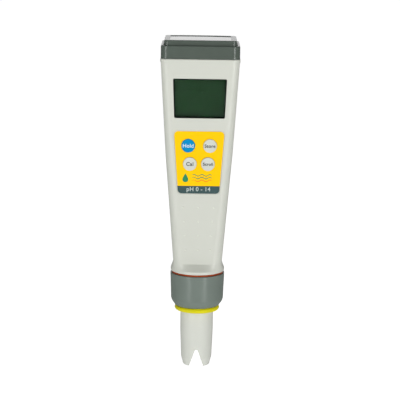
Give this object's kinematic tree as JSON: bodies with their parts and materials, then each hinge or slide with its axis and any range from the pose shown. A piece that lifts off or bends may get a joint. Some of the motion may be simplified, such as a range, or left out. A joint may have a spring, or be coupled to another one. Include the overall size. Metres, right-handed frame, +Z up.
{
  "type": "digital_ph_meter",
  "caption": "Handheld pen-style digital pH meter with a screw-on electrode, battery cover and four keys",
  "frame": {"origin": "on the electrode's axis, at the upper end of the cylinder that a cap slides over, just under the yellow ring", "axes": "+Z up the long axis towards the display, -Y out of the display, +X to the display's right"},
  "size_m": [0.0396, 0.0381, 0.1658],
  "materials": {
    "shell_plastic": "light grey ABS, fine satin texture",
    "housing_plastic": "light grey ABS, satin",
    "bezel_plastic": "dark grey ABS, satin",
    "collar_plastic": "dark grey ABS, soft satin sheen",
    "yellow_rubber": "yellow silicone, satin",
    "seal_rubber": "red-brown silicone, satin",
    "black_rubber": "black nitrile, satin",
    "mat_rubber": "pale silicone, matt",
    "zebra_rubber": "striped conductive elastomer",
    "window_glass": "clear polycarbonate, glossy",
    "lcd_glass": "dark green display glass",
    "sensor_glass": "thin clear glass",
    "label_film": "yellow printed film with a dark band",
    "key_blue": "blue printed key",
    "key_grey": "pale grey printed key",
    "dark_plastic": "black moulded plastic",
    "board_green": "green circuit board with solder resist",
    "chip_black": "black epoxy package",
    "ceramic_white": "porous white ceramic",
    "steel_bright": "nickel plated steel",
    "gold_contact": "gold plated contact",
    "silver_wire": "silver wire"
  },
  "bodies": {
    "root": {"body_shell": "shell_plastic", "top_bezel": "bezel_plastic", "collar_seal": "seal_rubber", "keypad_mat": "mat_rubber", "zebra_strips": "zebra_rubber", "display_window": "window_glass", "lcd_glass": "lcd_glass", "keypad_label": "label_film", "lcd_frame": "dark_plastic", "inner_chassis": "dark_plastic", "electrode_socket": "dark_plastic", "battery_sleeve": "dark_plastic", "main_board": "board_green", "controller_chip": "chip_black", "amplifier_chip": "chip_black", "small_components": "chip_black", "board_screws": "steel_bright", "crystal": "steel_bright", "dome_switches": "steel_bright", "bay_contacts": "gold_contact", "socket_pins": "gold_contact"},
    "battery_cover": {"battery_cover": "bezel_plastic", "cover_seal": "black_rubber", "battery_carrier": "dark_plastic", "button_cell_1": "steel_bright", "button_cell_2": "steel_bright", "button_cell_3": "steel_bright", "button_cell_4": "steel_bright", "contact_spring": "steel_bright", "contact_plate": "steel_bright"},
    "electrode": {"electrode_housing": "housing_plastic", "yellow_ring": "yellow_rubber", "glass_stem": "sensor_glass", "ph_glass_bulb": "sensor_glass", "temperature_probe": "steel_bright", "reference_junction": "ceramic_white", "sensing_wire": "silver_wire", "reference_wire": "silver_wire", "probe_leads": "gold_contact", "electrode_bung": "dark_plastic", "contact_board": "board_green", "contact_pads": "gold_contact", "electrode_seal": "black_rubber"},
    "collar_nut": {"collar_nut": "collar_plastic"},
    "key_hold": {"key_hold": "key_blue"},
    "key_store": {"key_store": "key_grey"},
    "key_cal": {"key_cal": "key_grey"},
    "key_scroll": {"key_scroll": "key_grey"}
  },
  "joints": [
    {"name": "battery_cover_pull", "type": "slide", "parent": "root", "child": "battery_cover", "axis": [0, 0, 1], "range_m": [0, 0.028]},
    {"name": "electrode_travel", "type": "slide", "parent": "root", "child": "electrode", "axis": [0, 0, -1], "range_m": [0, 0.006]},
    {"name": "collar_turn", "type": "hinge", "parent": "electrode", "child": "collar_nut", "pos_m": [0, 0, 0.01], "axis": [0, 0, -1], "range_deg": [0, 1080]},
    {"name": "key_hold_press", "type": "slide", "parent": "root", "child": "key_hold", "axis": [0, 1, 0], "range_m": [0, 0.0004], "stiffness_N_per_m": 2500},
    {"name": "key_store_press", "type": "slide", "parent": "root", "child": "key_store", "axis": [0, 1, 0], "range_m": [0, 0.0004], "stiffness_N_per_m": 2500},
    {"name": "key_cal_press", "type": "slide", "parent": "root", "child": "key_cal", "axis": [0, 1, 0], "range_m": [0, 0.0004], "stiffness_N_per_m": 2500},
    {"name": "key_scroll_press", "type": "slide", "parent": "root", "child": "key_scroll", "axis": [0, 1, 0], "range_m": [0, 0.0004], "stiffness_N_per_m": 2500}
  ],
  "couplings": [
    {"joint": "collar_turn", "follows": "electrode_travel", "rad_per_m": 3141.6}
  ]
}
